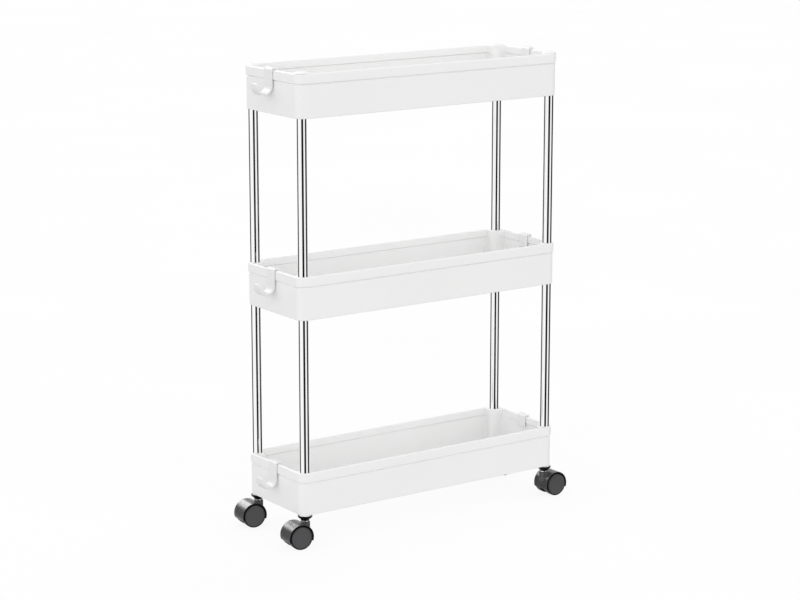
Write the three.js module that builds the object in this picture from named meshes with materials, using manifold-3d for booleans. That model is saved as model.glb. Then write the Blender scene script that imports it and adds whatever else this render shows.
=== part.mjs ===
// Rolling pantry cart: three moulded trays joined by tube posts, on four twin-wheel casters, with a hook
// hung over each short end of each tray.
// Millimetres, +Z up. X runs along the trays, Y across them (front is -Y). The origin is on the floor,
// under the middle of the cart.

import * as THREE from 'three';
import { mergeVertices } from 'three/addons/utils/BufferGeometryUtils.js';
import Module from 'manifold-3d';

const wasm = await Module();
wasm.setup();

// ---- Driving dimensions ----

const GAP = 0.3;                 // clearance between neighbouring pieces
const SIDES = 20;                // facets round a turned piece
const WHEEL_SIDES = 28;
const PLAN_SEGMENTS = 4;         // facets round each corner of a tray
const STEM_SIDES = 12;
const ARC_SEGMENTS = 10;         // facets along the arcs of hooks and hoods

const LENGTH = 404;              // over the tray rims
const WIDTH = 132;
const TRAY_HEIGHT = 55;
const TRAY_PITCH = 251;          // from one tray to the next
const UNDERSIDE = 42;            // underside of the bottom tray, above the floor

const RIM_HEIGHT = 12;           // thicker band round the top of a tray
const RIM_PROUD = 1;             // how far the band stands proud of the wall, outside and inside
const RIM_ROUND = 1.5;           // rounding of the band's top edge
const RIM_THICKNESS = 4;
const WALL = 2;
const FLOOR = 2.5;
const CORNER_RADIUS = 13;

const POST_INSET = 10;           // post axis, in from the rim's two outer faces
const COLUMN_RADIUS = 10;        // corner column that holds the posts
const TUBE_RADIUS = 6.4;
const TUBE_WALL = 1;
const SOCKET_DEPTH = 20;         // blind bore at each end of a corner column

const CAP_RADIUS = 9.3;
const CAP_TOP_RADIUS = 6;
const CAP_HEIGHT = 2.2;
const CAP_PLUG_LENGTH = 9;

const HOOK_WIDTH = 16;
const HOOK_THICKNESS = 2.6;
const HOOK_BEND = 11.3;          // outer radius of the curl
const HOOK_DROP = 31;            // from the rim's top to the bottom of the curl
const HOOK_TIP = 4;              // straight end beyond the curl
const HOOK_INNER_LEG = 15;
const HOOK_ARCH_ROUND = 2;

const TRAIL = 11.5;               // from the swivel axis to the axle
const WHEEL_RADIUS = 15.5;
const WHEEL_INNER = 5;           // a wheel's two faces, from the middle of the caster
const WHEEL_OUTER = 14.4;
const WHEEL_EDGE = 1.1;          // rounding of the tread
const AXLE_RADIUS = 2;
const AXLE_HALF_LENGTH = 11.5;
const SWIVEL_ANGLES = {           // degrees that each caster stands turned from straight
  front_left: -6, back_left: -6, front_right: 0, back_right: 12,
};

const HOOD_RADIUS = 17.2;
const HOOD_WALL = 1.1;
const HOOD_HALF_WIDTH = 14;
const HOOD_LOW_ANGLE = Math.PI / 9;  // both ends of the hood stop this far below the axle's level
const WEB_HALF_WIDTH = 4.4;
const WEB_RADIUS = 13.2;

const NECK_RADIUS = 6.3;
const NECK_TOP = 32.4;
const NECK_BOTTOM = 20;
const NECK_TAPER = 4;            // height of the cone under the neck
const COLLAR_RADIUS = 5.2;
const COLLAR_HEIGHT = 1.4;
const STEM_RADIUS = 3;
const STEM_BOTTOM = 21;
const STEM_LENGTH = 38;
const GROOVE_DEPTH = 0.5;        // groove in the stem, snapped over by a bead inside the neck
const GROOVE_LOW = 26.3;
const GROOVE_HIGH = 28.2;

const FOOT_RADIUS = 8;           // low boss under each corner of the bottom tray
const FOOT_HEIGHT = 1.6;
const FLANGE_RADIUS = 9.3;
const FLANGE_RIM = 2.2;          // height of the flange's straight rim
const FLANGE_CONE_TOP = 7.8;
const FLANGE_CONE_BOTTOM = 5.4;

const ends = [{ name: 'left', sign: -1 }, { name: 'right', sign: 1 }];
const sides = [{ name: 'front', sign: -1 }, { name: 'back', sign: 1 }];
const levels = ['bottom', 'middle', 'top'];

const rimTop = UNDERSIDE + TRAY_HEIGHT;
const postX = LENGTH / 2 - POST_INSET;
const postY = WIDTH / 2 - POST_INSET;

// ---- Materials ----

const whitePlastic = () => new THREE.MeshStandardMaterial({ color: 0xefefee, roughness: 0.35 });
const blackPlastic = () => new THREE.MeshStandardMaterial({ color: 0x1c1c1e, roughness: 0.4 });
const wheelPlastic = () => new THREE.MeshStandardMaterial({ color: 0x3a3a3d, roughness: 0.45 });
const chrome = () => new THREE.MeshStandardMaterial({ color: 0xdcdee0, roughness: 0.08, metalness: 1 });
const steel = () => new THREE.MeshStandardMaterial({ color: 0xb9bcc0, roughness: 0.25, metalness: 1 });

// ---- Solids ----

// A closed geometry as a solid that can be joined and cut. Triangles that collapse on an axis are dropped.
function solid(geometry) {
  const bare = geometry.clone();
  bare.deleteAttribute('normal');
  bare.deleteAttribute('uv');
  const merged = mergeVertices(bare, 1e-4);
  const corners = merged.index.array;
  const kept = [];
  for (let i = 0; i < corners.length; i += 3) {
    const [a, b, c] = corners.slice(i, i + 3);
    if (a !== b && b !== c && c !== a) kept.push(a, b, c);
  }
  return new wasm.Manifold(new wasm.Mesh({
    numProp: 3,
    vertProperties: new Float32Array(merged.attributes.position.array),
    triVerts: new Uint32Array(kept),
  }));
}

function toGeometry(body) {
  const mesh = body.getMesh();
  const geometry = new THREE.BufferGeometry();
  geometry.setAttribute('position', new THREE.BufferAttribute(new Float32Array(mesh.vertProperties), 3));
  geometry.setIndex(new THREE.BufferAttribute(new Uint32Array(mesh.triVerts), 1));
  geometry.computeVertexNormals();
  return geometry;
}

const joined = (...bodies) => bodies.reduce((sum, body) => sum.add(body));

// An outline in X and Y raised from z = low to z = high.
function prism(outline, low, high) {
  const geometry = new THREE.ExtrudeGeometry(outline, {
    depth: high - low, bevelEnabled: false, curveSegments: PLAN_SEGMENTS,
  });
  return solid(geometry.translate(0, 0, low));
}

// An outline drawn in X and Z, given a thickness along Y about y = 0.
function slab(outline, halfWidth) {
  const geometry = new THREE.ExtrudeGeometry(outline, {
    depth: 2 * halfWidth, bevelEnabled: false, curveSegments: ARC_SEGMENTS,
  });
  return solid(geometry.translate(0, 0, -halfWidth).rotateX(Math.PI / 2));
}

// A profile of [radius, height] points from axis to axis, turned about Z.
function turnedUpright(profile, segments = SIDES) {
  const points = profile.map(([radius, height]) => new THREE.Vector2(radius, height));
  return solid(new THREE.LatheGeometry(points, segments).rotateX(Math.PI / 2));
}

// The same, turned about Y.
function turnedAcross(profile, segments = SIDES) {
  const points = profile.map(([radius, y]) => new THREE.Vector2(radius, y));
  return solid(new THREE.LatheGeometry(points, segments));
}

function rod(radius, low, high, segments = SIDES) {
  return turnedUpright([[0, low], [radius, low], [radius, high], [0, high]], segments);
}

function block(x, y, z) {
  const size = [x, y, z].map(([low, high]) => high - low);
  const centre = [x, y, z].map(([low, high]) => (high + low) / 2);
  return solid(new THREE.BoxGeometry(...size).translate(...centre));
}

// The tray's plan outline, shrunk by an inset from the rim's outer face.
function plan(inset) {
  const x = LENGTH / 2 - inset;
  const y = WIDTH / 2 - inset;
  const radius = CORNER_RADIUS - inset;
  const outline = new THREE.Shape();
  outline.moveTo(-x + radius, -y);
  outline.lineTo(x - radius, -y);
  outline.absarc(x - radius, -y + radius, radius, -Math.PI / 2, 0);
  outline.lineTo(x, y - radius);
  outline.absarc(x - radius, y - radius, radius, 0, Math.PI / 2);
  outline.lineTo(-x + radius, y);
  outline.absarc(-x + radius, y - radius, radius, Math.PI / 2, Math.PI);
  outline.lineTo(-x, -y + radius);
  outline.absarc(-x + radius, -y + radius, radius, Math.PI, 1.5 * Math.PI);
  return outline;
}

// ---- Trays ----

// The band round the top: rounded above, with a sharp lower edge.
function rimBand() {
  const bandLow = TRAY_HEIGHT - RIM_HEIGHT;
  const start = bandLow - 2 * RIM_ROUND;
  const geometry = new THREE.ExtrudeGeometry(plan(0), {
    depth: TRAY_HEIGHT - start - 2 * RIM_ROUND,
    bevelThickness: RIM_ROUND,
    bevelSize: RIM_ROUND,
    bevelOffset: -RIM_ROUND,
    bevelSegments: 2,
    curveSegments: PLAN_SEGMENTS,
  });
  const band = solid(geometry.translate(0, 0, start + RIM_ROUND));
  const below = block([-LENGTH, LENGTH], [-WIDTH, WIDTH], [start - 1, bandLow]);
  return band.subtract(below);
}

// A column fills its corner of the tray, and takes a post from above and from below.
function cornerColumn(endSign, sideSign) {
  const x = endSign * postX;
  const y = sideSign * postY;
  const span = (centre, sign, reach) => [centre, centre + sign * reach].sort((a, b) => a - b);
  const across = (centre) => [centre - COLUMN_RADIUS, centre + COLUMN_RADIUS];
  return joined(
    rod(COLUMN_RADIUS, 0, TRAY_HEIGHT).translate(x, y, 0),
    block(span(x, endSign, POST_INSET), across(y), [0, TRAY_HEIGHT]),
    block(across(x), span(y, sideSign, POST_INSET), [0, TRAY_HEIGHT]),
  );
}

// One moulding: walls, floor, rim band and four corner columns, each with a bore at the top and the
// bottom. Only the bottom tray is footed, with a low boss round each lower bore.
function trayBody(footed) {
  const bandLow = TRAY_HEIGHT - RIM_HEIGHT;
  const outside = prism(plan(RIM_PROUD), 0, TRAY_HEIGHT - 2 * RIM_ROUND).add(rimBand());
  const lowerRoom = prism(plan(RIM_PROUD + WALL), FLOOR, bandLow);
  const upperRoom = prism(plan(RIM_THICKNESS), bandLow - 1, TRAY_HEIGHT + 1);
  let room = lowerRoom.add(upperRoom);
  let tray = outside;
  for (const end of ends) {
    for (const side of sides) room = room.subtract(cornerColumn(end.sign, side.sign));
  }
  tray = tray.subtract(room);
  for (const end of ends) {
    for (const side of sides) {
      const x = end.sign * postX;
      const y = side.sign * postY;
      const bores = joined(
        rod(TUBE_RADIUS + GAP, -FOOT_HEIGHT - 1, SOCKET_DEPTH),
        rod(TUBE_RADIUS + GAP, TRAY_HEIGHT - SOCKET_DEPTH, TRAY_HEIGHT + 1),
      );
      if (footed) tray = tray.add(rod(FOOT_RADIUS, -FOOT_HEIGHT, 1).translate(x, y, 0));
      tray = tray.subtract(bores.translate(x, y, 0));
    }
  }
  return tray;
}

// ---- Posts and caps ----

function tube() {
  const seat = SOCKET_DEPTH - GAP;
  const low = TRAY_HEIGHT - seat;
  const high = TRAY_PITCH + seat;
  return rod(TUBE_RADIUS, low, high).subtract(rod(TUBE_RADIUS - TUBE_WALL, low - 1, high + 1));
}

// A low cap with a plug that closes the top of a corner column.
function cap() {
  return turnedUpright([
    [0, -CAP_PLUG_LENGTH], [TUBE_RADIUS, -CAP_PLUG_LENGTH], [TUBE_RADIUS, GAP],
    [CAP_RADIUS, GAP], [CAP_RADIUS, CAP_HEIGHT / 2], [CAP_TOP_RADIUS, CAP_HEIGHT], [0, CAP_HEIGHT],
  ]);
}

// ---- Hooks ----

// A strap that goes over the rim: a leg inside, an arch, a leg outside and a curl away from the tray.
// Drawn for the right end, with x = 0 on the rim's outer face and z = 0 on the rim's top.
function hook() {
  const inside = -RIM_THICKNESS - GAP;
  const top = GAP + HOOK_THICKNESS;
  const outside = GAP + HOOK_THICKNESS;
  const centreX = GAP + HOOK_BEND;
  const centreZ = HOOK_BEND - HOOK_DROP;
  const tipZ = centreZ + HOOK_TIP;
  const innerBend = HOOK_BEND - HOOK_THICKNESS;
  const outline = new THREE.Shape();
  outline.moveTo(inside - HOOK_THICKNESS, -HOOK_INNER_LEG);
  outline.lineTo(inside, -HOOK_INNER_LEG);
  outline.lineTo(inside, GAP);
  outline.lineTo(GAP, GAP);
  outline.lineTo(GAP, centreZ);
  outline.absarc(centreX, centreZ, HOOK_BEND, Math.PI, 2 * Math.PI);
  outline.lineTo(centreX + HOOK_BEND, tipZ);
  outline.lineTo(centreX + innerBend, tipZ);
  outline.lineTo(centreX + innerBend, centreZ);
  outline.absarc(centreX, centreZ, innerBend, 2 * Math.PI, Math.PI, true);
  outline.lineTo(outside, top - HOOK_ARCH_ROUND);
  outline.lineTo(outside - HOOK_ARCH_ROUND, top);
  outline.lineTo(inside - HOOK_THICKNESS + HOOK_ARCH_ROUND, top);
  outline.lineTo(inside - HOOK_THICKNESS, top - HOOK_ARCH_ROUND);
  return slab(outline, HOOK_WIDTH / 2);
}

// ---- Casters ----
// Each piece is drawn with the swivel axis on x = 0, y = 0, the floor at z = 0 and the wheels trailing
// towards +X.

// A sleeve inside the tray's corner column, with a flange and a cone below the tray.
function casterSocket() {
  const flangeTop = UNDERSIDE - FOOT_HEIGHT - GAP;
  const sleeveTop = UNDERSIDE + SOCKET_DEPTH - GAP;
  const coneLow = NECK_TOP + COLLAR_HEIGHT + 2 * GAP;
  const outside = turnedUpright([
    [0, coneLow], [FLANGE_CONE_BOTTOM, coneLow], [FLANGE_CONE_TOP, flangeTop - FLANGE_RIM],
    [FLANGE_RADIUS, flangeTop - FLANGE_RIM], [FLANGE_RADIUS, flangeTop], [TUBE_RADIUS, flangeTop],
    [TUBE_RADIUS, sleeveTop], [0, sleeveTop],
  ]);
  return outside.subtract(rod(STEM_RADIUS + GAP, coneLow - 1, sleeveTop + 1, STEM_SIDES));
}

// A pin with a collar under the socket and a snap groove inside the caster's neck.
function stem() {
  const collarLow = NECK_TOP + GAP;
  const grooveRadius = STEM_RADIUS - GROOVE_DEPTH;
  return turnedUpright([
    [0, STEM_BOTTOM], [STEM_RADIUS, STEM_BOTTOM], [STEM_RADIUS, GROOVE_LOW], [grooveRadius, GROOVE_LOW],
    [grooveRadius, GROOVE_HIGH], [STEM_RADIUS, GROOVE_HIGH], [STEM_RADIUS, collarLow],
    [COLLAR_RADIUS, collarLow], [COLLAR_RADIUS, collarLow + COLLAR_HEIGHT],
    [STEM_RADIUS, collarLow + COLLAR_HEIGHT], [STEM_RADIUS, STEM_BOTTOM + STEM_LENGTH],
    [0, STEM_BOTTOM + STEM_LENGTH],
  ], STEM_SIDES);
}

// The room for the stem inside the neck, narrowed by a bead that sits in the stem's groove.
function stemRoom() {
  const bore = STEM_RADIUS + GAP;
  const bead = bore - GROOVE_DEPTH;
  return turnedUpright([
    [0, STEM_BOTTOM - GAP], [bore, STEM_BOTTOM - GAP], [bore, GROOVE_LOW + GAP], [bead, GROOVE_LOW + GAP],
    [bead, GROOVE_HIGH - GAP], [bore, GROOVE_HIGH - GAP], [bore, NECK_TOP + 1], [0, NECK_TOP + 1],
  ], STEM_SIDES);
}

// The part of a disc about the axle that lies within the hood's angles.
function hoodSector(radius) {
  const sector = new THREE.Shape();
  sector.moveTo(TRAIL, WHEEL_RADIUS);
  sector.absarc(TRAIL, WHEEL_RADIUS, radius, -HOOD_LOW_ANGLE, Math.PI + HOOD_LOW_ANGLE);
  return sector;
}

// Hood over both wheels, web between them, and neck round the stem: one moulding.
function casterBody() {
  const hood = slab(hoodSector(HOOD_RADIUS), HOOD_HALF_WIDTH);
  const hub = new THREE.Shape();
  hub.absarc(TRAIL, WHEEL_RADIUS, WEB_RADIUS, 0, 2 * Math.PI);
  const neck = turnedUpright([
    [0, NECK_BOTTOM - NECK_TAPER], [NECK_RADIUS / 2, NECK_BOTTOM - NECK_TAPER],
    [NECK_RADIUS, NECK_BOTTOM], [NECK_RADIUS, NECK_TOP], [0, NECK_TOP],
  ]);
  const pocket = HOOD_RADIUS - HOOD_WALL;
  const wheelRoom = turnedAcross([
    [0, WEB_HALF_WIDTH], [pocket, WEB_HALF_WIDTH], [pocket, WHEEL_OUTER + 1], [0, WHEEL_OUTER + 1],
  ], WHEEL_SIDES).translate(TRAIL, 0, WHEEL_RADIUS);
  const axleHole = turnedAcross([
    [0, -WHEEL_OUTER], [AXLE_RADIUS + GAP, -WHEEL_OUTER], [AXLE_RADIUS + GAP, WHEEL_OUTER], [0, WHEEL_OUTER],
  ], STEM_SIDES).translate(TRAIL, 0, WHEEL_RADIUS);
  return joined(hood, slab(hub, WEB_HALF_WIDTH), neck)
    .subtract(wheelRoom)
    .subtract(wheelRoom.mirror([0, 1, 0]))
    .subtract(axleHole)
    .subtract(stemRoom());
}

function axle() {
  return turnedAcross([
    [0, -AXLE_HALF_LENGTH], [AXLE_RADIUS, -AXLE_HALF_LENGTH], [AXLE_RADIUS, AXLE_HALF_LENGTH],
    [0, AXLE_HALF_LENGTH],
  ], STEM_SIDES).translate(TRAIL, 0, WHEEL_RADIUS);
}

// A wheel on the +Y side: a blind hub bore on its inner face, and a slightly domed outer face.
function wheel() {
  const bore = AXLE_RADIUS + GAP;
  const boreEnd = AXLE_HALF_LENGTH + GAP;
  const shoulder = WHEEL_OUTER - 0.6;
  return turnedAcross([
    [0, boreEnd], [bore, boreEnd], [bore, WHEEL_INNER],
    [WHEEL_RADIUS - WHEEL_EDGE, WHEEL_INNER], [WHEEL_RADIUS, WHEEL_INNER + WHEEL_EDGE],
    [WHEEL_RADIUS, shoulder - WHEEL_EDGE], [WHEEL_RADIUS - WHEEL_EDGE, shoulder], [0, WHEEL_OUTER],
  ], WHEEL_SIDES).translate(TRAIL, 0, WHEEL_RADIUS);
}

// ---- Assembly ----

const cart = new THREE.Group();

function place(parent, name, body, material) {
  const mesh = new THREE.Mesh(toGeometry(body), material);
  mesh.name = name;
  parent.add(mesh);
  return mesh;
}

const footedTraySolid = trayBody(true);
const traySolid = trayBody(false);
const tubeSolid = tube();
const capSolid = cap();
const hookSolid = hook();

levels.forEach((level, step) => {
  const base = UNDERSIDE + step * TRAY_PITCH;
  const body = step === 0 ? footedTraySolid : traySolid;
  place(cart, `tray_${level}`, body, whitePlastic()).position.z = base;
  for (const end of ends) {
    const mesh = place(cart, `hook_${level}_${end.name}`, hookSolid, whitePlastic());
    mesh.position.set(end.sign * LENGTH / 2, 0, base + TRAY_HEIGHT);
    mesh.rotation.z = end.sign > 0 ? 0 : Math.PI;
  }
});

function corner(end, side) {
  const cornerName = `${side.name}_${end.name}`;
  const group = new THREE.Group();
  group.position.set(end.sign * postX, side.sign * postY, 0);
  cart.add(group);
  place(group, `tube_lower_${cornerName}`, tubeSolid, chrome()).position.z = UNDERSIDE;
  place(group, `tube_upper_${cornerName}`, tubeSolid, chrome()).position.z = UNDERSIDE + TRAY_PITCH;
  place(group, `cap_${cornerName}`, capSolid, whitePlastic()).position.z = rimTop + 2 * TRAY_PITCH;
  place(group, `caster_socket_${cornerName}`, casterSocket(), blackPlastic());
  place(group, `caster_stem_${cornerName}`, stem(), steel());
  const caster = new THREE.Group();
  caster.rotation.z = (end.sign > 0 ? 0 : Math.PI) + THREE.MathUtils.degToRad(SWIVEL_ANGLES[cornerName]);
  group.add(caster);
  place(caster, `caster_body_${cornerName}`, casterBody(), blackPlastic());
  place(caster, `axle_${cornerName}`, axle(), steel());
  for (const face of sides) {
    const turned = wheel();
    const outward = face.sign * end.sign > 0 ? turned : turned.mirror([0, 1, 0]);
    place(caster, `wheel_${cornerName}_${face.name}`, outward, wheelPlastic());
  }
}

for (const end of ends) {
  for (const side of sides) corner(end, side);
}

export default cart;
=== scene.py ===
"""Looks of the rolling pantry cart: moulded trays, chrome posts, hooks, caps and twin-wheel casters."""

import math

import bmesh
import bpy
from mathutils import Matrix, Vector


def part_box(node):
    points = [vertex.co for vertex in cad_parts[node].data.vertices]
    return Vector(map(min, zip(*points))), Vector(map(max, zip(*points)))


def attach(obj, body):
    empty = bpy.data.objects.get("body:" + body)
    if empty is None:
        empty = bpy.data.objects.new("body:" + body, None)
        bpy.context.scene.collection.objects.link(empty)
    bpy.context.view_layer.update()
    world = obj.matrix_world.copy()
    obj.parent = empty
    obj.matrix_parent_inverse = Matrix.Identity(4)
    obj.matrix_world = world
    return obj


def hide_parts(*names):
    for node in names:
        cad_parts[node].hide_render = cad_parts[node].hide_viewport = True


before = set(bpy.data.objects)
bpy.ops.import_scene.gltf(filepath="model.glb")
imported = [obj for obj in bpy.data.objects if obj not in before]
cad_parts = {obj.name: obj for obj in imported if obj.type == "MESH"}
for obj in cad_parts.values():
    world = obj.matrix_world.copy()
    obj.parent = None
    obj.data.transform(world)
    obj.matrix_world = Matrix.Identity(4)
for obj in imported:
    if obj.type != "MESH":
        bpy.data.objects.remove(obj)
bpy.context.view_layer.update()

MM = 0.001
TURN = 2 * math.pi
WELD = 1e-7                   # points closer than this are one point
ON_AXIS = 1e-6                # a radius below this is none

# ---- Names that repeat ----

LEVELS = ("bottom", "middle", "top")
ENDS = (("left", -1), ("right", 1))
SIDES = (("front", -1), ("back", 1))
CORNERS = [
    (f"{side}_{end}", end_sign, side_sign) for end, end_sign in ENDS for side, side_sign in SIDES
]
QUARTERS = ((1, 1), (-1, 1), (-1, -1), (1, -1))

# ---- Sizes that the frame holds, in metres ----

tray_low, tray_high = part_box("tray_top")
LENGTH = tray_high.x - tray_low.x
WIDTH = tray_high.y - tray_low.y
TRAY_HEIGHT = tray_high.z - tray_low.z
foot_low, rim_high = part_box("tray_bottom")
UNDERSIDE = rim_high.z - TRAY_HEIGHT
FOOT_HEIGHT = UNDERSIDE - foot_low.z
tube_low, tube_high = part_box("tube_lower_front_left")
TUBE_RADIUS = (tube_high.x - tube_low.x) / 2
POST_X = -(tube_high.x + tube_low.x) / 2
POST_Y = -(tube_high.y + tube_low.y) / 2
wheel_low, wheel_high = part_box("wheel_front_right_front")
WHEEL_RADIUS = (wheel_high.z - wheel_low.z) / 2
AXLE_HEIGHT = (wheel_high.z + wheel_low.z) / 2
TRAIL = (wheel_high.x + wheel_low.x) / 2 - POST_X
WHEEL_OUTER = -POST_Y - wheel_low.y
WHEEL_INNER = -POST_Y - wheel_high.y
hook_low, hook_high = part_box("hook_top_right")
HOOK_WIDTH = hook_high.y - hook_low.y
HOOK_TOP = hook_high.z - tray_high.z
HOOK_BOTTOM = hook_low.z - tray_high.z
HOOK_REACH = hook_high.x - LENGTH / 2
HOOK_INSIDE = hook_low.x - LENGTH / 2
body_low, body_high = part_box("caster_body_front_right")
HOOD_HALF_WIDTH = (body_high.y - body_low.y) / 2
HOOD_RADIUS = body_high.x - POST_X - TRAIL
NECK_TOP = body_high.z
stem_low, stem_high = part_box("caster_stem_front_left")
COLLAR_RADIUS = (stem_high.x - stem_low.x) / 2
socket_low, socket_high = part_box("caster_socket_front_left")
FLANGE_RADIUS = (socket_high.x - socket_low.x) / 2
cap_low, cap_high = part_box("cap_front_left")
CAP_RADIUS = (cap_high.x - cap_low.x) / 2
axle_low, axle_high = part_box("axle_front_right")
AXLE_RADIUS = (axle_high.z - axle_low.z) / 2
AXLE_HALF = (axle_high.y - axle_low.y) / 2

# ---- Sizes of the finer shapes ----

RIM_HEIGHT = 12 * MM
RIM_PROUD = 1 * MM
RIM_THICKNESS = 4 * MM
INNER_BAND = 9 * MM           # height of the rim band inside
GROOVE_HEIGHT = 1.4 * MM      # shadow groove under the band, outside
GROOVE_DEPTH = 1.1 * MM
INNER_GROOVE_HEIGHT = 1 * MM  # and inside
INNER_GROOVE_DEPTH = 0.7 * MM
FOOT_RADIUS = 8 * MM
WALL_INSET = 3 * MM           # the wall's inner face, in from the rim's outer face
FLOOR = 2.5 * MM
CORNER_RADIUS = 13 * MM
COLUMN_RADIUS = 10 * MM
COLUMN_FILLET = 2 * MM        # where a column meets the walls
LEAST_FILLET = 0.2 * MM
SOCKET_DEPTH = 20 * MM
FIT = 0.12 * MM               # clearance that shows round a post
GAP = 0.05 * MM               # between parts that sit on each other
HOOK_THICKNESS = 2.6 * MM
STEM_RADIUS = 3 * MM
HOOD_WALL = 1.1 * MM
HOOD_LOW_ANGLE = math.radians(20)
WEB_HALF_WIDTH = 4.4 * MM
WEB_RADIUS = 13.2 * MM
NECK_RADIUS = 6.3 * MM
FACE_RADIUS = 14 * MM         # grey face of a wheel, inside its black tyre
SWIVEL_ANGLES = {             # degrees that each caster stands turned from straight
    "front_left": -6, "back_left": -6, "front_right": 0, "back_right": 12,
}


# ---- Outlines ----

def filleted(corners, closed=False, steps=5):
    """Points of an outline whose corners, (x, y, radius), are each rounded by an arc."""
    points = []
    count = len(corners)
    for i, (x, y, radius) in enumerate(corners):
        here = Vector((x, y))
        if radius <= 0 or (not closed and i in (0, count - 1)):
            points.append(here)
            continue
        to_last = (Vector(corners[i - 1][:2]) - here).normalized()
        to_next = (Vector(corners[(i + 1) % count][:2]) - here).normalized()
        half = to_last.angle(to_next) / 2
        centre = here + (to_last + to_next).normalized() * radius / math.sin(half)
        start = here + to_last * radius / math.tan(half) - centre
        turn = math.pi - 2 * half
        if to_last.x * to_next.y - to_last.y * to_next.x > 0:
            turn = -turn
        for k in range(steps + 1):
            points.append(centre + Matrix.Rotation(turn * k / steps, 2) @ start)
    return points


# ---- Mesh tools ----

def new_object(name, bm):
    bmesh.ops.remove_doubles(bm, verts=bm.verts, dist=WELD)
    bmesh.ops.recalc_face_normals(bm, faces=bm.faces)
    mesh = bpy.data.meshes.new(name)
    bm.to_mesh(mesh)
    bm.free()
    obj = bpy.data.objects.new(name, mesh)
    bpy.context.scene.collection.objects.link(obj)
    return obj


def apply_modifiers(obj):
    depsgraph = bpy.context.evaluated_depsgraph_get()
    mesh = bpy.data.meshes.new_from_object(obj.evaluated_get(depsgraph), depsgraph=depsgraph)
    obj.modifiers.clear()
    old = obj.data
    obj.data = mesh
    bpy.data.meshes.remove(old)
    return obj


def boolean(obj, cutter, operation="DIFFERENCE"):
    modifier = obj.modifiers.new("boolean", "BOOLEAN")
    modifier.operation = operation
    modifier.object = cutter
    modifier.solver = "MANIFOLD"
    apply_modifiers(obj)
    bpy.data.objects.remove(cutter)
    return obj


def smooth(obj, angle=32):
    """Smooth shading that keeps hard edges hard and flat faces flat."""
    obj.data.polygons.foreach_set("use_smooth", [True] * len(obj.data.polygons))
    obj.data.set_sharp_from_angle(angle=math.radians(angle))
    modifier = obj.modifiers.new("flats", "WEIGHTED_NORMAL")
    modifier.keep_sharp = True
    return apply_modifiers(obj)


def bridge(bm, first, second):
    """Faces between two closed rings of as many vertices."""
    count = len(first)
    for i in range(count):
        j = (i + 1) % count
        quad = (first[i], first[j], second[j], second[i])
        if len(set(quad)) > 2:
            bm.faces.new(tuple(dict.fromkeys(quad)))


def turned(profile, segments=64, bm=None):
    """A profile of (radius, height) points turned about Z. A point on the axis closes the end."""
    bm = bm or bmesh.new()
    rings = []
    for radius, height in profile:
        if radius < ON_AXIS:
            rings.append([bm.verts.new((0, 0, height))] * segments)
            continue
        ring = []
        for i in range(segments):
            angle = TURN * i / segments
            ring.append(bm.verts.new((radius * math.cos(angle), radius * math.sin(angle), height)))
        rings.append(ring)
    for first, second in zip(rings, rings[1:]):
        bridge(bm, first, second)
    is_open = (Vector(profile[0]) - Vector(profile[-1])).length > WELD
    if is_open and profile[0][0] > ON_AXIS:
        bridge(bm, rings[-1], rings[0])
    return bm


def turned_object(name, corners, segments=64, closed=False, steps=5):
    """A turned object whose profile's corners, (radius, height, rounding), are each rounded."""
    points = [tuple(p) for p in filleted(corners, closed, steps)]
    if closed:
        points.append(points[0])
    return new_object(name, turned(points, segments))


def box_mesh(bm, low, high):
    for vert in bmesh.ops.create_cube(bm, size=1)["verts"]:
        share = vert.co + Vector((0.5, 0.5, 0.5))
        vert.co = Vector([a + (b - a) * s for a, b, s in zip(low, high, share)])


def prism_mesh(bm, outline, low, high):
    """A closed outline in X and Z, with a thickness along Y."""
    rings = [[bm.verts.new((p[0], y, p[1])) for p in outline] for y in (low, high)]
    bridge(bm, *rings)
    for ring in rings:
        bm.faces.new(ring)
    return bm


# ---- Materials ----

class Nodes:
    """A short way to build a node tree."""

    def __init__(self, tree):
        self.tree = tree

    def add(self, kind, **values):
        node = self.tree.nodes.new(kind)
        for key, value in values.items():
            setattr(node, key, value)
        return node

    def link(self, output, target):
        self.tree.links.new(output, target)

    def spread(self, fac, low, high, low_in=0.3, high_in=0.7):
        """A value stretched from one range to another. A noise lies mostly between 0.3 and 0.7."""
        node = self.add("ShaderNodeMapRange")
        node.inputs["From Min"].default_value = low_in
        node.inputs["From Max"].default_value = high_in
        node.inputs["To Min"].default_value = low
        node.inputs["To Max"].default_value = high
        self.link(fac, node.inputs["Value"])
        return node.outputs["Result"]

    def pick(self, fac, first, second):
        """The first colour where fac is 0, and the second where it is 1."""
        mix = self.add("ShaderNodeMix", data_type="RGBA")
        colours = [socket for socket in mix.inputs if socket.type == "RGBA"]
        self.link(fac, mix.inputs[0])
        self.link(first, colours[0])
        self.link(second, colours[1])
        return next(socket for socket in mix.outputs if socket.type == "RGBA")


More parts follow.
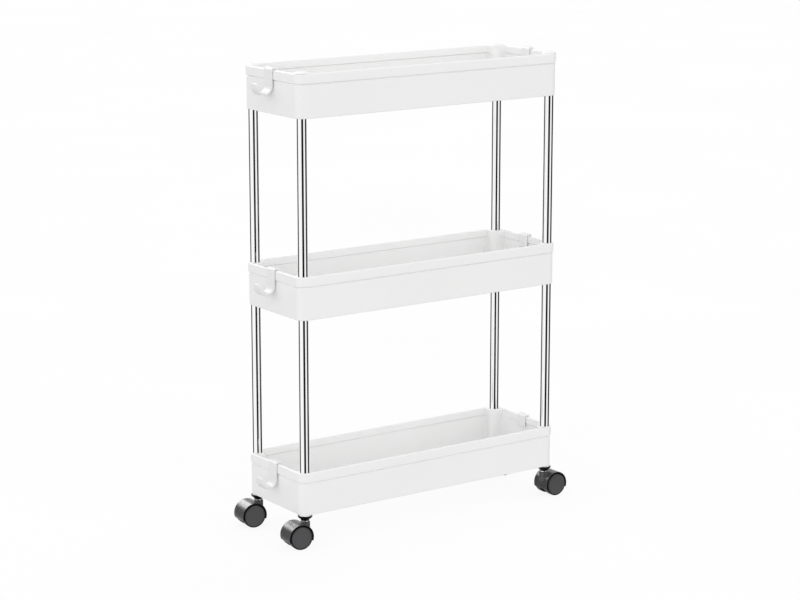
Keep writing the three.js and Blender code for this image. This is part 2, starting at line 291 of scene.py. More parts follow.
class MaterialNodes(Nodes):
    """A material's tree. Its noises lie in object coordinates, and their scales are per metre."""

    def __init__(self, name):
        self.material = bpy.data.materials.new(name)
        self.material.use_nodes = True
        super().__init__(self.material.node_tree)
        self.shader = self.tree.nodes["Principled BSDF"]
        self.place = self.add("ShaderNodeTexCoord").outputs["Object"]

    def set(self, name, value):
        self.shader.inputs[name].default_value = value

    def noise(self, scale, detail):
        node = self.add("ShaderNodeTexNoise")
        node.inputs["Scale"].default_value = scale
        node.inputs["Detail"].default_value = detail
        self.link(self.place, node.inputs["Vector"])
        return node.outputs["Fac"]

    def colour(self, noise, dark, light):
        """Clouds between two near colours."""
        ramp = self.add("ShaderNodeValToRGB")
        ramp.color_ramp.elements[0].color = (*dark, 1)
        ramp.color_ramp.elements[1].color = (*light, 1)
        self.link(self.spread(noise, 0, 1), ramp.inputs["Fac"])
        self.link(ramp.outputs["Color"], self.shader.inputs["Base Color"])

    def roughness(self, noise, low, high):
        self.link(self.spread(noise, low, high), self.shader.inputs["Roughness"])

    def bump(self, noise, strength, distance, below=None):
        """Small hollows, on top of another bump where there is one."""
        node = self.add("ShaderNodeBump")
        node.inputs["Strength"].default_value = strength
        node.inputs["Distance"].default_value = distance
        self.link(noise, node.inputs["Height"])
        if below is not None:
            self.link(below, node.inputs["Normal"])
        self.link(node.outputs["Normal"], self.shader.inputs["Normal"])
        return node.outputs["Normal"]


def grey(level, tint=0.0):
    """A grey whose blue differs from the rest by the tint."""
    return (level, level, level + tint)


def white_plastic(name, dark, light):
    """Satin plastic with a faint orange peel and a fine grain."""
    nodes = MaterialNodes(name)
    nodes.colour(nodes.noise(scale=9, detail=2), grey(dark, -0.003), grey(light, -0.002))
    nodes.roughness(nodes.noise(scale=60, detail=4), 0.42, 0.5)
    peel = nodes.bump(nodes.noise(scale=450, detail=2), strength=0.03, distance=0.2 * MM)
    nodes.bump(nodes.noise(scale=2600, detail=2), strength=0.06, distance=0.04 * MM, below=peel)
    nodes.set("Specular IOR Level", 0.35)
    return nodes.material


def chrome():
    nodes = MaterialNodes("polished_chrome")
    nodes.set("Metallic", 1)
    nodes.colour(nodes.noise(scale=70, detail=4), grey(0.93), grey(0.955))
    nodes.roughness(nodes.noise(scale=130, detail=5), 0.02, 0.05)
    nodes.bump(nodes.noise(scale=900, detail=2), strength=0.03, distance=0.02 * MM)
    return nodes.material


def steel():
    nodes = MaterialNodes("bright_steel")
    nodes.set("Metallic", 1)
    nodes.colour(nodes.noise(scale=200, detail=4), grey(0.80), grey(0.88))
    nodes.roughness(nodes.noise(scale=300, detail=5), 0.3, 0.42)
    return nodes.material


def black_nylon(name, dark, light, specular):
    nodes = MaterialNodes(name)
    nodes.colour(nodes.noise(scale=120, detail=3), grey(dark, 0.04 * dark), grey(light, 0.04 * light))
    nodes.roughness(nodes.noise(scale=260, detail=4), 0.24, 0.34)
    nodes.bump(nodes.noise(scale=1500, detail=3), strength=0.03, distance=0.05 * MM)
    nodes.set("Specular IOR Level", specular)
    return nodes.material


def wheel_nylon():
    nodes = MaterialNodes("grey_wheel_nylon")
    nodes.colour(nodes.noise(scale=90, detail=3), grey(0.050, 0.003), grey(0.060, 0.004))
    nodes.roughness(nodes.noise(scale=300, detail=4), 0.30, 0.42)
    nodes.bump(nodes.noise(scale=1700, detail=3), strength=0.06, distance=0.05 * MM)
    return nodes.material


WHITE = white_plastic("white_moulded_plastic", 0.915, 0.93)
# The hooks wear a darker copy of the trays' white: painted shade that tones down the light on their
# straps and curls.
SHADED_HOOK_WHITE = white_plastic("white_plastic_painted_shade", 0.86, 0.875)
CHROME = chrome()
STEEL = steel()
# Black nylon for the sockets and tyres; the hoods' end faces wear it too, as painted shade.
BLACK = black_nylon("black_nylon", 0.003, 0.005, 0.15)
HOOD = black_nylon("hood_nylon", 0.062, 0.076, 0.5)
GREY = wheel_nylon()


def finish_piece(obj, body, node, slot, *materials):
    """A face wears the material whose place in the list is the face's material index."""
    last = len(materials) - 1
    places = [min(polygon.material_index, last) for polygon in obj.data.polygons]
    obj.data.materials.clear()
    for material in materials:
        obj.data.materials.append(material)
    obj.data.polygons.foreach_set("material_index", places)
    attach(obj, body)
    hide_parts(node)


def copy_of(obj, name, matrix):
    """Another piece with the same mesh, placed by a matrix."""
    made = bpy.data.objects.new(name, obj.data.copy())
    made.data.transform(matrix)
    bpy.context.scene.collection.objects.link(made)
    return made


def take_away(obj):
    bpy.data.objects.remove(obj)


# ---- Trays ----

def rim_loop(inset, steps):
    """The tray's plan outline, shrunk by an inset from the rim's outer face: a run of points a corner."""
    x, y = LENGTH / 2 - inset, WIDTH / 2 - inset
    radius = CORNER_RADIUS - inset
    points = []
    for corner, (sx, sy) in enumerate(QUARTERS):
        centre = Vector((sx * (x - radius), sy * (y - radius)))
        for k in range(steps):
            angle = TURN / 4 * (corner + k / (steps - 1))
            points.append(centre + radius * Vector((math.cos(angle), math.sin(angle))))
    return points


def room_corner(inset, grown):
    """The room inside the tray at its first corner: wall, fillet, column, fillet, wall."""
    x, y = LENGTH / 2 - inset - grown, WIDTH / 2 - inset - grown
    column = COLUMN_RADIUS + grown
    fillet = max(COLUMN_FILLET - grown, LEAST_FILLET)
    return filleted([
        (x, 0, 0),
        (x, POST_Y - column, fillet),
        (POST_X - column, POST_Y - column, column),
        (POST_X - column, y, fillet),
        (0, y, 0),
    ], steps=8)[1:-1]


def room_loop(inset, grown=0.0):
    """The room's outline, with each wall inset and then the whole room shrunk by grown."""
    first = room_corner(inset, grown)
    points = list(first)
    points += [Vector((-p.x, p.y)) for p in reversed(first)]
    points += [Vector((-p.x, -p.y)) for p in first]
    points += [Vector((p.x, -p.y)) for p in reversed(first)]
    return points


def quarter_arc(radius, start, stop, steps=5):
    """(across, up) steps of a quarter round, from one angle to another in degrees."""
    angles = [math.radians(start + (stop - start) * k / steps) for k in range(steps + 1)]
    return [(radius * math.sin(a), radius * math.cos(a)) for a in angles]


def outer_rings(steps):
    """Rings of the tray's outside, as (outline, height): round the foot, up the wall, over the rim."""
    foot = 1 * MM
    shoulder = 0.9 * MM
    lip = 0.3 * MM
    edge = 1.6 * MM
    band_low = TRAY_HEIGHT - RIM_HEIGHT
    wall_top = band_low - GROOVE_HEIGHT
    groove = RIM_PROUD + GROOVE_DEPTH
    rings = []
    for across, up in quarter_arc(foot, 0, 90):
        rings.append((rim_loop(RIM_PROUD + foot - across, steps), foot - up))
    for across, up in quarter_arc(shoulder, 90, 0, 3):
        rings.append((rim_loop(RIM_PROUD + shoulder - across, steps), wall_top - shoulder + up))
    rings.append((rim_loop(groove, steps), wall_top))
    rings.append((rim_loop(groove, steps), band_low))
    for across, up in quarter_arc(lip, 0, 90, 3):
        rings.append((rim_loop(lip - across, steps), band_low + lip - up))
    for across, up in quarter_arc(edge, 90, 0):
        rings.append((rim_loop(edge - across, steps), TRAY_HEIGHT - edge + up))
    return rings


def inner_rings():
    """Rings of the tray's inside, as (outline, height): from the rim down to the floor."""
    edge = 1.1 * MM
    floor_fillet = 1.6 * MM
    band_low = TRAY_HEIGHT - INNER_BAND
    groove = WALL_INSET - INNER_GROOVE_DEPTH
    rings = []
    for across, up in quarter_arc(edge, 0, 90):
        rings.append((room_loop(RIM_THICKNESS, across - edge), TRAY_HEIGHT - edge + up))
    rings.append((room_loop(RIM_THICKNESS), band_low))
    rings.append((room_loop(groove), band_low))
    rings.append((room_loop(groove), band_low - INNER_GROOVE_HEIGHT))
    rings.append((room_loop(WALL_INSET), band_low - INNER_GROOVE_HEIGHT))
    for across, up in quarter_arc(floor_fillet, 90, 0):
        rings.append((room_loop(WALL_INSET, floor_fillet - across), FLOOR + floor_fillet - up))
    return rings


def tray_shell():
    """The tray without its sockets, as one skin from the underside round to the floor."""
    steps = len(room_corner(WALL_INSET, 0))
    bm = bmesh.new()
    made = []
    for loop, height in outer_rings(steps) + inner_rings():
        made.append([bm.verts.new((p.x, p.y, height)) for p in loop])
    for first, second in zip(made, made[1:]):
        bridge(bm, first, second)
    bm.faces.new(made[0])
    bm.faces.new(made[-1])
    return new_object("tray_shell", bm)


def add_feet(tray):
    """A low boss under each corner column, for the casters."""
    overlap = 1 * MM
    edge = 0.4 * MM
    for sx in (-1, 1):
        for sy in (-1, 1):
            foot = turned_object("foot", [
                (0, -FOOT_HEIGHT, 0), (FOOT_RADIUS, -FOOT_HEIGHT, edge), (FOOT_RADIUS, overlap, 0),
                (0, overlap, 0),
            ])
            foot.data.transform(Matrix.Translation((sx * POST_X, sy * POST_Y, 0)))
            boolean(tray, foot, "UNION")


def socket_cutter(foot):
    """The eight post sockets, with a small chamfer at each mouth. The lower ones start at the foot."""
    bm = bmesh.new()
    bore = TUBE_RADIUS + FIT
    chamfer = 0.5 * MM
    mouth = bore + 2 * chamfer
    above = [
        (0, TRAY_HEIGHT - SOCKET_DEPTH), (bore, TRAY_HEIGHT - SOCKET_DEPTH),
        (bore, TRAY_HEIGHT - chamfer), (mouth, TRAY_HEIGHT + chamfer), (0, TRAY_HEIGHT + chamfer),
    ]
    below = [
        (0, -foot - chamfer), (mouth, -foot - chamfer), (bore, chamfer - foot),
        (bore, SOCKET_DEPTH), (0, SOCKET_DEPTH),
    ]
    for sx in (-1, 1):
        for sy in (-1, 1):
            for shape in (above, below):
                start = len(bm.verts)
                turned(shape, bm=bm)
                bm.verts.ensure_lookup_table()
                bmesh.ops.translate(bm, verts=bm.verts[start:], vec=(sx * POST_X, sy * POST_Y, 0))
    return new_object("socket_cutter", bm)


def share_of(half, count, place, rib):
    """The ends of one of count equal lengths from -half to half, less half a rib at each end."""
    low = -half + 2 * half * place / count + rib / 2
    high = -half + 2 * half * (place + 1) / count - rib / 2
    return low, high


def pocket_cutter():
    """Shallow pockets in the underside, which leave a grid of ribs."""
    columns, rows = 6, 2
    depth = 1.2 * MM
    below = 1 * MM
    rib = 1.6 * MM
    corner = 2.5 * MM
    past_columns = 2 * MM
    past_sides = 5 * MM
    half_length = POST_X - COLUMN_RADIUS - past_columns
    half_width = WIDTH / 2 - past_sides
    bm = bmesh.new()
    for i in range(columns):
        for j in range(rows):
            low_x, high_x = share_of(half_length, columns, i, rib)
            low_y, high_y = share_of(half_width, rows, j, rib)
            box_mesh(bm, (low_x, low_y, -below), (high_x, high_y, depth))
    uprights = [e for e in bm.edges if abs(e.verts[0].co.z - e.verts[1].co.z) > depth / 2]
    bmesh.ops.bevel(bm, geom=uprights, offset=corner, segments=5, profile=0.5, affect="EDGES")
    return new_object("pocket_cutter", bm)


def make_trays():
    for level in LEVELS:
        node = f"tray_{level}"
        footed = level == LEVELS[0]
        tray = tray_shell()
        tray.name = f"{node}_moulding"
        if footed:
            add_feet(tray)
        boolean(tray, socket_cutter(FOOT_HEIGHT if footed else 0.0))
        boolean(tray, pocket_cutter())
        smooth(tray)
        tray.data.transform(Matrix.Translation((0, 0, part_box(node)[1].z - TRAY_HEIGHT)))
        tray.visible_glossy = False  # the posts' reflections run unbroken down to the rims
        finish_piece(tray, "root", node, "white_plastic", WHITE)


# ---- Posts and caps ----

def make_tubes():
    wall = 1 * MM
    edge = 0.3 * MM
    inner = TUBE_RADIUS - wall
    low, high = tube_low.z, tube_high.z
    tube = turned_object("tube", [
        (inner, low, edge), (TUBE_RADIUS, low, edge), (TUBE_RADIUS, high, edge), (inner, high, edge),
    ], 72, closed=True, steps=3)
    smooth(tube)
    for corner, sx, sy in CORNERS:
        for part in ("lower", "upper"):
            node = f"tube_{part}_{corner}"
            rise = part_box(node)[0].z - low
            place = Matrix.Translation((sx * POST_X, sy * POST_Y, rise))
            finish_piece(copy_of(tube, f"{node}_chrome", place), "root", node, "chrome", CHROME)
    take_away(tube)


def make_caps():
    low, top = cap_low.z, cap_high.z
    seat = tray_high.z + GAP
    brim = 0.6 * MM
    flat = 5.2 * MM
    slope = 1.2 * MM
    fall = 0.15 * MM
    cap = turned_object("cap", [
        (0, low, 0), (TUBE_RADIUS, low, 0.6 * MM), (TUBE_RADIUS, seat, 0), (CAP_RADIUS, seat, 0),
        (CAP_RADIUS, seat + brim, 0.3 * MM), (flat + slope, top - fall, 1 * MM), (flat, top, 1 * MM),
        (0, top, 0),
    ], 72)
    smooth(cap)
    for corner, sx, sy in CORNERS:
        node = f"cap_{corner}"
        piece = copy_of(cap, f"{node}_moulding", Matrix.Translation((sx * POST_X, sy * POST_Y, 0)))
        finish_piece(piece, "root", node, "white_plastic", WHITE)
    take_away(cap)


# ---- Hooks ----

def hook_path():
    """The strap's middle line in X and Z, from its inner leg over the rim to the tip of the curl."""
    half = HOOK_THICKNESS / 2
    off_rim = 0.3 * MM
    leg = 15 * MM
    bend = 1.8 * MM
    tip = 4 * MM
    curl = (HOOK_REACH - off_rim) / 2 - half
    curl_bend = curl - 0.01 * MM
    inside = HOOK_INSIDE + half
    outside = HOOK_REACH - half - 2 * curl
    top = HOOK_TOP - half
    bottom = HOOK_BOTTOM + half
    return filleted([
        (inside, -leg, 0), (inside, top, bend), (outside, top, bend),
        (outside, bottom, curl_bend), (HOOK_REACH - half, bottom, curl_bend),
        (HOOK_REACH - half, bottom + curl + tip, 0),
    ], steps=18)


def spaced(points, gap):
    """The same path with points no further apart than gap."""
    path = [points[0]]
    for first, second in zip(points, points[1:]):
        parts = max(1, math.ceil((second - first).length / gap))
        path += [first.lerp(second, k / parts) for k in range(1, parts + 1)]
    return [p for i, p in enumerate(path) if i == 0 or (p - path[i - 1]).length > WELD]


def tapered(distance, radius):
    """How far a rounded end of that radius cuts in, at a distance from the end."""
    if distance >= radius:
        return 0.0
    return radius - math.sqrt(max(0.0, radius ** 2 - (radius - distance) ** 2))


def strap_section(half_width, half_thickness, edge):
    """A rounded rectangle, across Y and through the strap."""
    edge = min(edge, half_width, half_thickness)
    corners = [(sx * half_width, sy * half_thickness, edge) for sx, sy in QUARTERS]
    return filleted(corners, closed=True, steps=4)


def hook_mesh():
    """The strap: its section carried along its path, with the corners of both ends rounded."""
    edge = 0.7 * MM
    root_round = 1.5 * MM
    tip_round = 5 * MM
    path = spaced(hook_path(), 0.9 * MM)
    lengths = [0.0]
    for first, second in zip(path, path[1:]):
        lengths.append(lengths[-1] + (second - first).length)
    total = lengths[-1]
    bm = bmesh.new()
    rings = []
    for i, (point, along) in enumerate(zip(path, lengths)):
        before, after = path[max(i - 1, 0)], path[min(i + 1, len(path) - 1)]
        tangent = (after - before).normalized()
        normal = Vector((-tangent.y, tangent.x))
        cut = tapered(along, root_round) + tapered(total - along, tip_round)
        thin = tapered(along, edge) + tapered(total - along, edge)
        section = strap_section(HOOK_WIDTH / 2 - cut, HOOK_THICKNESS / 2 - 0.8 * thin, edge)
        rings.append([
            bm.verts.new((point.x + normal.x * p.y, p.x, point.y + normal.y * p.y)) for p in section
        ])
    for first, second in zip(rings, rings[1:]):
        bridge(bm, first, second)
    bm.faces.new(rings[0])
    bm.faces.new(rings[-1])
    return new_object("hook", bm)


def make_hooks():
    hook = smooth(hook_mesh())
    for level in LEVELS:
        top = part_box(f"tray_{level}")[1].z
        for end, sign in ENDS:
            node = f"hook_{level}_{end}"
            turn = Matrix.Rotation(0 if sign > 0 else math.pi, 4, "Z")
            place = Matrix.Translation((sign * LENGTH / 2, 0, top)) @ turn
            # Each hook wears the darker white, which is painted shade.
            finish_piece(copy_of(hook, f"{node}_strap", place), node, node, "white_plastic", SHADED_HOOK_WHITE)
    take_away(hook)


# ---- Casters ----
# Each piece is made with the swivel axis on x = 0, y = 0 and the wheels trailing towards +X.

def onto_axle(obj):
    """Turns a piece made about Z so that its axis is the axle's."""
    turn = Matrix.Rotation(-math.pi / 2, 4, "X")
    obj.data.transform(Matrix.Translation((TRAIL, 0, AXLE_HEIGHT)) @ turn)
    return obj


def hood_wedge():
    """What is cut away below the hood's two ends."""
    reach = 3 * HOOD_RADIUS
    drop = reach * math.sin(HOOD_LOW_ANGLE)
    side = reach * math.cos(HOOD_LOW_ANGLE)
    outline = [
        (TRAIL, AXLE_HEIGHT), (TRAIL + side, AXLE_HEIGHT - drop), (TRAIL + side, -reach),
        (TRAIL - side, -reach), (TRAIL - side, AXLE_HEIGHT - drop),
    ]
    return new_object("wedge", prism_mesh(bmesh.new(), outline, -reach, reach))


def drum(name, radius, low, high, edges=(0, 0), segments=96):
    """A round block on the axle, between two places across it, with each end's edge rounded."""
    return onto_axle(turned_object(name, [
        (0, low, 0), (radius, low, edges[0]), (radius, high, edges[1]), (0, high, 0),
    ], segments))


def caster_body():
    """Hood over both wheels, web between them and neck round the stem, moulded in one."""
    half = HOOD_HALF_WIDTH
    past = 1 * MM
    edge = 0.8 * MM
    hood = drum("caster_body", HOOD_RADIUS, -half, half, (edge, edge))
    boolean(hood, hood_wedge())
    boolean(hood, drum("web", WEB_RADIUS, -WEB_HALF_WIDTH, WEB_HALF_WIDTH), "UNION")
    boolean(hood, caster_neck(), "UNION")
    pocket = HOOD_RADIUS - HOOD_WALL
    for sign in (-1, 1):
        boolean(hood, drum("room", pocket, sign * WEB_HALF_WIDTH, sign * (half + past), (edge, 0)))
    stem_bore = STEM_RADIUS + 0.3 * MM
    stem_end = stem_low.z - 0.3 * MM
    boolean(hood, turned_object("stem_room", [
        (0, stem_end, 0), (stem_bore, stem_end, 0), (stem_bore, NECK_TOP + past, 0),
        (0, NECK_TOP + past, 0),
    ], 48))
    boolean(hood, drum("axle_room", AXLE_RADIUS + 0.15 * MM, -half, half, segments=48))
    # The hood's end faces wear black: painted shade for the dark gap between hood and wheel.
    return darken(soften(hood), is_hood_edge_painted_shade)


def soften(obj):
    """Small rounded edges everywhere, as a moulding has."""
    remesh = obj.modifiers.new("even", "REMESH")
    remesh.mode = "VOXEL"
    remesh.voxel_size = 0.3 * MM
    relax = obj.modifiers.new("relax", "SMOOTH")
    relax.factor = 0.5
    relax.iterations = 8
    apply_modifiers(obj)
    thin = obj.modifiers.new("thin", "DECIMATE")
    thin.ratio = 0.5
    apply_modifiers(obj)
    obj.data.polygons.foreach_set("use_smooth", [True] * len(obj.data.polygons))
    return obj


def caster_neck():
    """The neck, which narrows downwards into the web."""
    foot = 16 * MM
    waist = 20 * MM
    return turned_object("neck", [
        (0, foot, 0), (NECK_RADIUS / 2, foot, 0), (NECK_RADIUS, waist, 0),
        (NECK_RADIUS, NECK_TOP, 0.6 * MM), (0, NECK_TOP, 0),
    ])


def caster_socket():
    """A cup with a flange under the tray's foot, and a shank in the column."""
    top = foot_low.z - GAP
    low = socket_low.z
    bore = STEM_RADIUS + 0.2 * MM
    return smooth(turned_object("caster_socket", [
        (bore, low, 0), (5.3 * MM, low, 0.4 * MM), (6.6 * MM, top - 3.6 * MM, 1.2 * MM),
        (8.3 * MM, top - 2.7 * MM, 0.4 * MM), (8.5 * MM, top - 1.9 * MM, 0.3 * MM),
        (FLANGE_RADIUS, top - 1.5 * MM, 0.4 * MM), (FLANGE_RADIUS, top, 0.35 * MM),
        (TUBE_RADIUS, top, 0), (TUBE_RADIUS, socket_high.z, 0.6 * MM), (bore, socket_high.z, 0),
    ], 72, closed=True, steps=4))


def caster_stem():
    """A steel pin with a collar between the neck and the socket."""
    low = NECK_TOP + 0.1 * MM
    high = socket_low.z - GAP
    edge = 0.4 * MM
    collar_edge = 0.35 * MM
    return smooth(turned_object("caster_stem", [
        (0, stem_low.z, 0), (STEM_RADIUS, stem_low.z, edge), (STEM_RADIUS, low, 0),
        (COLLAR_RADIUS, low, collar_edge), (COLLAR_RADIUS, high, collar_edge), (STEM_RADIUS, high, 0),
        (STEM_RADIUS, stem_high.z, edge), (0, stem_high.z, 0),
    ], steps=4))


def caster_axle():
    edge = 0.4 * MM
    return smooth(onto_axle(turned_object("caster_axle", [
        (0, -AXLE_HALF, 0), (AXLE_RADIUS, -AXLE_HALF, edge), (AXLE_RADIUS, AXLE_HALF, edge),
        (0, AXLE_HALF, 0),
    ], 48, steps=4)))


def wheel(sign):
    """A wheel on one side of its caster: a black tyre round a grey face that stands a little proud."""
    inner, outer = WHEEL_INNER, WHEEL_OUTER
    bore = AXLE_RADIUS + 0.1 * MM
    bore_end = AXLE_HALF + 0.2 * MM
    hub = 4.6 * MM
    hollow = 11.6 * MM
    hollow_end = inner + 2.5 * MM
    tyre = outer - 0.7 * MM
    seam = tyre - 0.5 * MM
    face = outer - 0.25 * MM
    profile = [
        (0, bore_end, 0), (bore, bore_end, 0), (bore, inner, 0.3 * MM), (hub, inner, 0.4 * MM),
        (hub, hollow_end, 0.6 * MM), (hollow, hollow_end, 0.6 * MM), (hollow, inner, 0.4 * MM),
        (WHEEL_RADIUS, inner, 0.9 * MM), (WHEEL_RADIUS, tyre, 0.9 * MM),
        (FACE_RADIUS + 0.35 * MM, tyre, 0.1 * MM), (FACE_RADIUS + 0.15 * MM, seam, 0.1 * MM),
        (FACE_RADIUS, seam, 0.05 * MM), (FACE_RADIUS, outer - 0.65 * MM, 0.2 * MM),
        (FACE_RADIUS - 0.9 * MM, outer, 0.4 * MM), (FACE_RADIUS - 2.2 * MM, face, 0.8 * MM),
        (0, face, 0),
    ]
    flipped = [(radius, sign * y, fillet) for radius, y, fillet in profile]
    return darken(smooth(onto_axle(turned_object("wheel", flipped, 96, steps=4)), 40), is_tyre)


def darken(obj, chosen):
    """Gives the second material to the faces that are chosen. On a wheel it is the tyre's own black; on a
    caster body it is black painted on the hood's end faces as shade.
    """
    for polygon in obj.data.polygons:
        polygon.material_index = int(chosen(polygon))
    return obj


def is_tyre(polygon):
    """Outside the grey face, or behind it."""
    out = math.hypot(polygon.center.x - TRAIL, polygon.center.z - AXLE_HEIGHT)
    return out > FACE_RADIUS + 0.02 * MM or abs(polygon.center.y) < WHEEL_OUTER - 1.3 * MM


def is_hood_edge_painted_shade(polygon):
    """The hood's two narrow end faces, which wear black as painted shade for the dark gap between hood
    and wheel.
    """
    return abs(polygon.center.y) > HOOD_HALF_WIDTH - 0.4 * MM and abs(polygon.normal.y) > 0.6


def make_casters():
    """Sockets and stems stay with the tray, bodies and axles swivel, and wheels spin as well."""
    body, socket, stem, axle = caster_body(), caster_socket(), caster_stem(), caster_axle()
    wheels = {sign: wheel(sign) for sign in (-1, 1)}
    fixed = (("caster_socket", socket, "black_plastic", BLACK), ("caster_stem", stem, "steel", STEEL))
    # A body's second material, the black, is painted shade on the hood's end faces.
    riding = (("caster_body", body, "black_plastic", HOOD, BLACK), ("axle", axle, "steel", STEEL))
    for corner, sx, sy in CORNERS:
        place = Matrix.Translation((sx * POST_X, sy * POST_Y, 0))
        angle = math.radians(SWIVEL_ANGLES[corner]) + (0 if sx > 0 else math.pi)
        turn = place @ Matrix.Rotation(angle, 4, "Z")
        for kind, part, slot, material in fixed:
            node = f"{kind}_{corner}"
            finish_piece(copy_of(part, f"{node}_fine", place), "root", node, slot, material)
        for kind, part, slot, *materials in riding:
            node = f"{kind}_{corner}"
            finish_piece(copy_of(part, f"{node}_fine", turn), f"caster_{corner}", node, slot, *materials)
        for face, face_sign in SIDES:
            node = f"wheel_{corner}_{face}"
            piece = copy_of(wheels[face_sign * sx], f"{node}_fine", turn)
            finish_piece(piece, node, node, "wheel_plastic", GREY, BLACK)
    for part in (body, socket, stem, axle, *wheels.values()):
        take_away(part)


# ---- Studio ----

VIEW_AZIMUTH = math.radians(35.115)
VIEW_ELEVATION = math.radians(12.364)
VIEW_DISTANCE = 3.0819
VIEW_TARGET = Vector((-0.00629, 0, 0.28465))
VIEW_LENS = 106.52
SENSOR_WIDTH = 36
FAR = 100
FLOOR_RADIUS = 40
FLOOR_GLOW = 0.90


def make_camera():
    """A camera without shift, at the photo's viewing angle."""
    data = bpy.data.cameras.new("camera")
    data.lens = VIEW_LENS
    data.sensor_width = SENSOR_WIDTH
    data.clip_end = FAR
    camera = bpy.data.objects.new("camera", data)
    bpy.context.scene.collection.objects.link(camera)
    back = Vector((
        -math.sin(VIEW_AZIMUTH) * math.cos(VIEW_ELEVATION),
        -math.cos(VIEW_AZIMUTH) * math.cos(VIEW_ELEVATION),
        math.sin(VIEW_ELEVATION),
    ))
    camera.location = VIEW_TARGET + back * VIEW_DISTANCE
    camera.rotation_mode = "QUATERNION"
    camera.rotation_quaternion = (-back).to_track_quat("-Z", "Y")
    bpy.context.scene.camera = camera


def see_through_from_below(nodes):
    """The floor's underside is clear, so that the cart can be looked at from below."""
    side = nodes.add("ShaderNodeNewGeometry").outputs["Backfacing"]
    clear = nodes.add("ShaderNodeBsdfTransparent")
    mix = nodes.add("ShaderNodeMixShader")
    nodes.link(side, mix.inputs[0])
    nodes.link(nodes.shader.outputs[0], mix.inputs[1])
    nodes.link(clear.outputs[0], mix.inputs[2])
    nodes.link(mix.outputs[0], nodes.tree.nodes["Material Output"].inputs["Surface"])


def make_floor():
    """A pale floor, lit from below as a light table is, so that shadows on it stay faint."""
    bm = bmesh.new()
    bmesh.ops.create_circle(bm, cap_ends=True, segments=96, radius=FLOOR_RADIUS)
    floor = new_object("studio_floor", bm)
    nodes = MaterialNodes("pale_floor")
    nodes.colour(nodes.noise(scale=2, detail=2), grey(0.09), grey(0.10))
    nodes.set("Roughness", 0.9)
    nodes.set("Specular IOR Level", 0)
    nodes.set("Emission Color", (1, 1, 1, 1))
    nodes.set("Emission Strength", FLOOR_GLOW)
    see_through_from_below(nodes)
    floor.data.materials.append(nodes.material)
    if floor.data.polygons[0].normal.z < 0:
        floor.data.flip_normals()
    floor.visible_glossy = False
    floor.visible_diffuse = False


# Dark strips that only reflections see: bearing of the middle and width in degrees, and grey level.
CAMERA_BEARING = -125.1
STRIPS = (
    (CAMERA_BEARING + 16, 46, 0.01),
    (CAMERA_BEARING + 107, 59, 0.03),
    (CAMERA_BEARING - 109, 43, 0.04),
)
STRIP_EDGE = 3
LIGHT_ABOVE = 0.82            # the room's own light, from above and from below
LIGHT_BELOW = 0.65
HORIZON_BLEND = 0.3
BACKDROP = 0.985              # the room as the camera sees it

LIGHTS_CENTRE = Vector((0, 0, 0.3))
LIGHTS_DISTANCE = 3
FILLS = (                     # name, bearing and height in degrees, strength
    ("fill_camera", -134, 20, 0.14),
    ("fill_front", -58, 15, 0.12),
    ("fill_left", 160, 15, 0.10),
    ("fill_back", 50, 20, 0.12),
)
SOFTBOXES = (                 # name, bearing and height in degrees, size in metres, radiance
    ("softbox_behind", 98, 37, 2.2, 7),
    ("softbox_right", -21, 53, 1.3, 3),
)


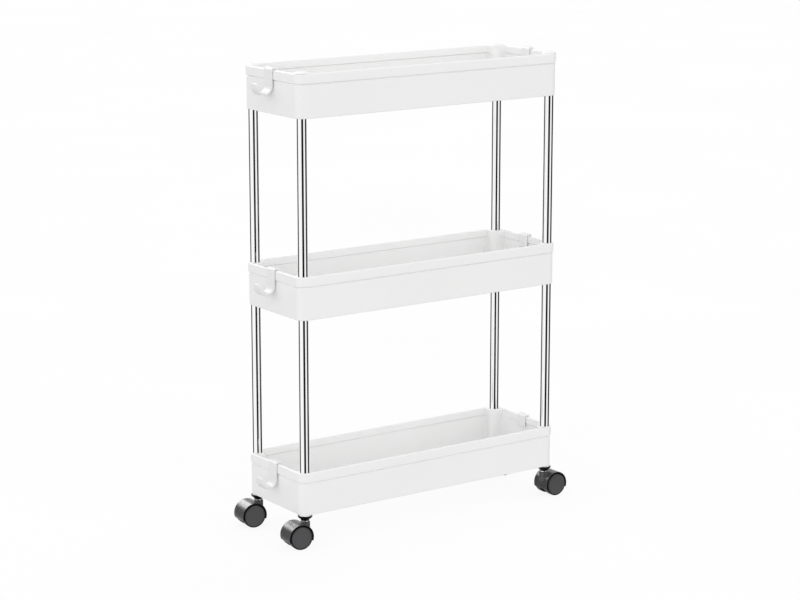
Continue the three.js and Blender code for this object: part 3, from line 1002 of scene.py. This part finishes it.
def make_world():
    """A white room, lighter above than below, with dark strips for the chrome to reflect."""
    world = bpy.data.worlds.new("studio")
    bpy.context.scene.world = world
    world.use_nodes = True
    nodes = Nodes(world.node_tree)
    place = nodes.add("ShaderNodeTexCoord")
    split = nodes.add("ShaderNodeSeparateXYZ")
    nodes.link(place.outputs["Generated"], split.inputs[0])
    angle = nodes.add("ShaderNodeMath", operation="ARCTAN2")
    nodes.link(split.outputs["Y"], angle.inputs[0])
    nodes.link(split.outputs["X"], angle.inputs[1])
    ramp = nodes.add("ShaderNodeValToRGB")
    nodes.link(nodes.spread(angle.outputs[0], 0, 1, -math.pi, math.pi), ramp.inputs["Fac"])
    add_strips(ramp.color_ramp)
    height = nodes.spread(split.outputs["Z"], LIGHT_BELOW, LIGHT_ABOVE, -HORIZON_BLEND, HORIZON_BLEND)
    backdrop = nodes.add("ShaderNodeRGB").outputs[0]
    backdrop.default_value = (BACKDROP, BACKDROP, BACKDROP, 1)
    ray = nodes.add("ShaderNodeLightPath")
    light = nodes.pick(ray.outputs["Is Glossy Ray"], height, ramp.outputs["Color"])
    light = nodes.pick(ray.outputs["Is Camera Ray"], light, backdrop)
    nodes.link(light, nodes.tree.nodes["Background"].inputs["Color"])


def add_strips(ramp):
    """Draws the dark strips round a ramp that runs once round the horizon."""
    elements = ramp.elements
    elements[0].position, elements[1].position = 0.0, 1.0
    for element in elements:
        element.color = (1, 1, 1, 1)
    for middle, width, level in STRIPS:
        middle = (middle + 180) % 360 - 180
        stops = (
            (-width / 2 - STRIP_EDGE, 1), (-width / 2 + STRIP_EDGE, level),
            (width / 2 - STRIP_EDGE, level), (width / 2 + STRIP_EDGE, 1),
        )
        for offset, value in stops:
            element = elements.new((middle + offset + 180) / 360)
            element.color = (value, value, value, 1)


def aim(name, data, bearing, height):
    """Places a light round the cart, at a bearing and a height in degrees, and turns it to the cart."""
    bearing, height = math.radians(bearing), math.radians(height)
    flat = math.cos(height)
    away = Vector((math.cos(bearing) * flat, math.sin(bearing) * flat, math.sin(height)))
    light = bpy.data.objects.new(name, data)
    light.location = LIGHTS_CENTRE + LIGHTS_DISTANCE * away
    light.rotation_mode = "QUATERNION"
    light.rotation_quaternion = away.to_track_quat("Z", "Y")
    light.visible_camera = False
    bpy.context.scene.collection.objects.link(light)
    return light


def make_softbox(name, bearing, height, size, radiance):
    """A square light that only reflections show."""
    data = bpy.data.lights.new(name, "AREA")
    data.energy = radiance * math.pi * size ** 2
    data.size = size
    aim(name, data, bearing, height).visible_diffuse = False


def make_fill(name, bearing, height, share):
    """A very soft light from one side that no reflection shows."""
    data = bpy.data.lights.new(name, "SUN")
    data.energy = share * math.pi
    data.angle = math.radians(60)
    aim(name, data, bearing, height).visible_glossy = False


def make_studio():
    make_floor()
    make_world()
    make_camera()
    for fill in FILLS:
        make_fill(*fill)
    for softbox in SOFTBOXES:
        make_softbox(*softbox)
    bpy.context.scene.view_settings.view_transform = "Standard"


make_trays()
make_tubes()
make_caps()
make_hooks()
make_casters()
make_studio()
